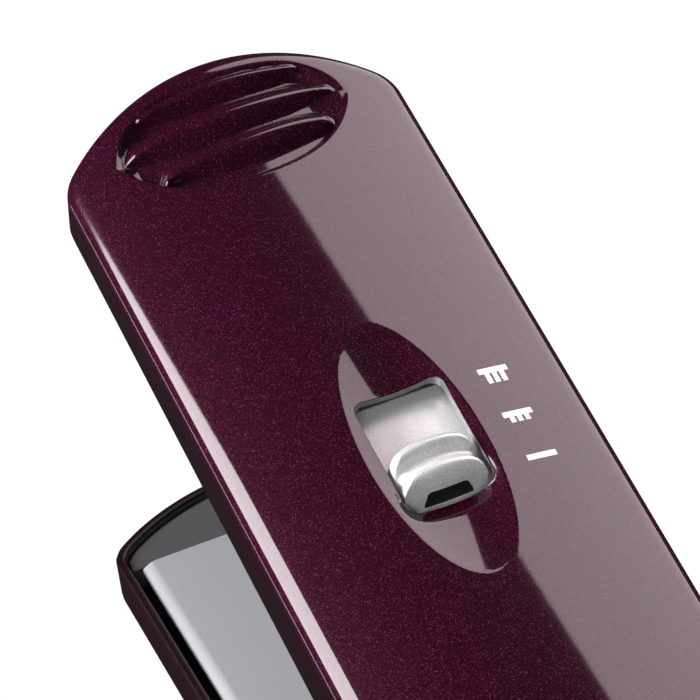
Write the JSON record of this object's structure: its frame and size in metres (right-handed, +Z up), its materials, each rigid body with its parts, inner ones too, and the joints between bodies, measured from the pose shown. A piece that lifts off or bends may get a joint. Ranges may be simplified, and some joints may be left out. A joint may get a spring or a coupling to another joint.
{
  "type": "hair straightener",
  "caption": "Travel hair straightener: two hinged plastic arms with heated plates, and a comb beside the upper plate that a thumb slider pushes out.",
  "frame": {"origin": "centre of the underside of the bounding box; the lower arm lies flat on its rest face and the rest nubs", "axes": "+X from the hinge to the arm tips, +Y to the left seen from behind the hinge, +Z up through the open upper arm"},
  "size_m": [0.257, 0.042, 0.0846],
  "materials": {
    "shell": "gloss lacquer with fine flakes",
    "cover": "satin moulded",
    "nose": "matte moulded",
    "heat_plate": "ceramic coated, satin",
    "heater_ceramic": "matte",
    "spring_steel": "bright",
    "sensor": "glossy",
    "board": "board lacquer",
    "lens": "gloss",
    "wire": "satin",
    "screw_steel": "plated",
    "rubber": "matte",
    "gland": "matte",
    "button_silver": "silver paint",
    "button_grey": "matte",
    "slider_silver": "silver paint, fine grain",
    "comb_steel": "stamped",
    "comb": "heat-resistant moulded"
  },
  "bodies": {
    "lower_arm": {"lower_shell": "shell", "lower_handle_cover": "cover", "lower_nose_cover": "nose", "plate_springs": "spring_steel", "control_board": "board", "display_lens": "lens", "harness": "wire", "cover_screws": "screw_steel", "hinge_pin": "screw_steel", "hinge_spring": "spring_steel", "hinge_caps": "shell", "gland_collar": "cover", "rest_nubs": "rubber"},
    "lower_plate": {"lower_heat_plate": "heat_plate", "lower_heater": "heater_ceramic", "lower_heater_clip": "spring_steel", "lower_thermistor": "sensor"},
    "gland": {"cord_gland": "gland"},
    "power_key": {"power_button": "button_silver"},
    "temp_up_key": {"temp_up_button": "button_grey"},
    "temp_down_key": {"temp_down_button": "button_grey"},
    "upper_arm": {"upper_shell": "shell", "upper_handle_cover": "cover", "upper_nose_cover": "nose", "upper_heat_plate": "heat_plate", "upper_heater": "heater_ceramic", "upper_heater_clip": "spring_steel", "thermal_fuse": "sensor", "slider_guide": "cover", "detent_spring": "spring_steel", "upper_screws": "screw_steel"},
    "comb_slider": {"slider_button": "slider_silver", "slide_plate": "slider_silver", "cam_plate": "comb_steel"},
    "comb": {"comb_carrier": "comb_steel", "left_comb": "comb", "right_comb": "comb"}
  },
  "joints": [
    {"name": "arm_hinge", "type": "hinge", "parent": "lower_arm", "child": "upper_arm", "pos_m": [-0.1015, 0, 0.0146], "axis": [0, 1, 0], "range_deg": [0, 15], "stiffness_Nm_per_rad": 1, "springref_deg": -17.19},
    {"name": "comb_switch", "type": "slide", "parent": "upper_arm", "child": "comb_slider", "axis": [0.9746, 0, 0.2239], "range_m": [0, 0.0066]},
    {"name": "comb_drop", "type": "slide", "parent": "upper_arm", "child": "comb", "axis": [0.2588, 0, -0.9659], "range_m": [0, 0.0033]},
    {"name": "plate_float", "type": "slide", "parent": "lower_arm", "child": "lower_plate", "axis": [0, 0, -1], "range_m": [0, 0.0008], "stiffness_N_per_m": 5000, "springref_m": -0.0005},
    {"name": "power_press", "type": "slide", "parent": "lower_arm", "child": "power_key", "axis": [0, 0, -1], "range_m": [0, 0.0006], "stiffness_N_per_m": 800, "springref_m": -0.0004},
    {"name": "temp_up_press", "type": "slide", "parent": "lower_arm", "child": "temp_up_key", "axis": [0, 0, -1], "range_m": [0, 0.0006], "stiffness_N_per_m": 800, "springref_m": -0.0004},
    {"name": "temp_down_press", "type": "slide", "parent": "lower_arm", "child": "temp_down_key", "axis": [0, 0, -1], "range_m": [0, 0.0006], "stiffness_N_per_m": 800, "springref_m": -0.0004},
    {"name": "cord_swivel", "type": "hinge", "parent": "lower_arm", "child": "gland", "pos_m": [-0.1192, 0, 0.0047], "axis": [1, 0, 0], "continuous": true}
  ],
  "couplings": [
    {"joint": "comb_drop", "follows": "comb_switch", "ratio": 0.5}
  ]
}
